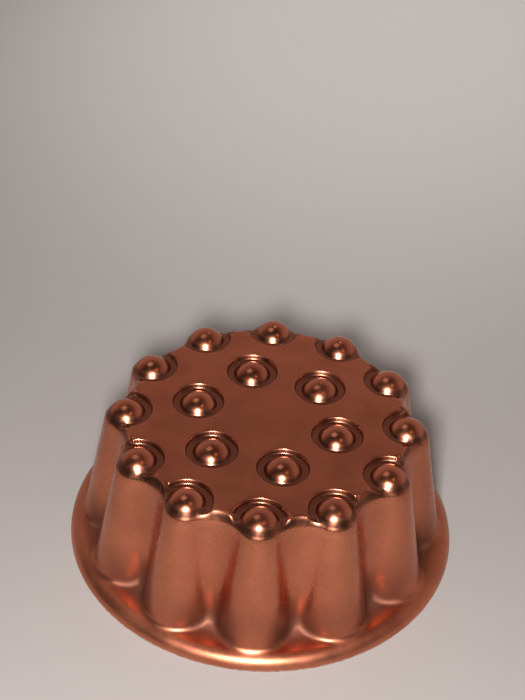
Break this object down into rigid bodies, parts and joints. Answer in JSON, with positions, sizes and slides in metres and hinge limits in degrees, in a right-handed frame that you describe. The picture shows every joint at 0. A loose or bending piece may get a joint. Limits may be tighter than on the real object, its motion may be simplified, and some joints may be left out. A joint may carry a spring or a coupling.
{
  "type": "gelatin mold",
  "caption": "Round fluted gelatin mold pressed from copper-toned aluminium sheet, with domed knobs on its closed end, a rolled rim and a hinged wire hanging ring.",
  "frame": {"origin": "on the mold's axis, in the plane that the rim stands on", "axes": "+Z along the mold's axis towards its closed end, +Y towards the hanging ring"},
  "size_m": [0.2, 0.2027, 0.0794],
  "materials": {
    "shell_sheet": "copper-toned anodised, satin",
    "hanger_sheet": "copper-toned anodised, polished",
    "rivet_metal": "copper-toned, polished",
    "ring_wire": "copper-toned drawn wire"
  },
  "bodies": {
    "mold": {"mold_shell": "shell_sheet", "hanger_strap": "hanger_sheet", "hanger_rivet": "rivet_metal"},
    "ring": {"hanging_ring": "ring_wire"}
  },
  "joints": [
    {"name": "ring_swing", "type": "hinge", "parent": "mold", "child": "ring", "pos_m": [0, 0.1004, 0.0075], "axis": [-1, 0, 0], "range_deg": [0, 197]}
  ]
}
